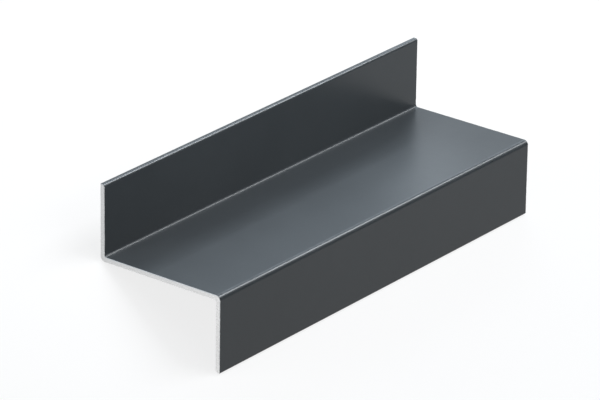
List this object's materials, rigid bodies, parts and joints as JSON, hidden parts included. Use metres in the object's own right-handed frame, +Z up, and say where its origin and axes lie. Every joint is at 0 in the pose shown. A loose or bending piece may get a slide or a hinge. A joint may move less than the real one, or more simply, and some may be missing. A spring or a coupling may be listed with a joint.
{
  "type": "aluminium z-profile",
  "caption": "Extruded aluminium z-profile: a flat web with a flange up along one edge and a flange down along the other, dark grey powder coat, bare sawn ends.",
  "frame": {"origin": "middle of the length and of the width over all, on the surface that the profile lies on", "axes": "+Y along the length, +Z up as the profile lies at rest, +X from the upper flange's side to the lower flange's side"},
  "size_m": [0.0756, 0.185, 0.0264],
  "materials": {
    "powder_coat": "satin"
  },
  "bodies": {
    "root": {"z_profile": "powder_coat"}
  },
  "joints": []
}
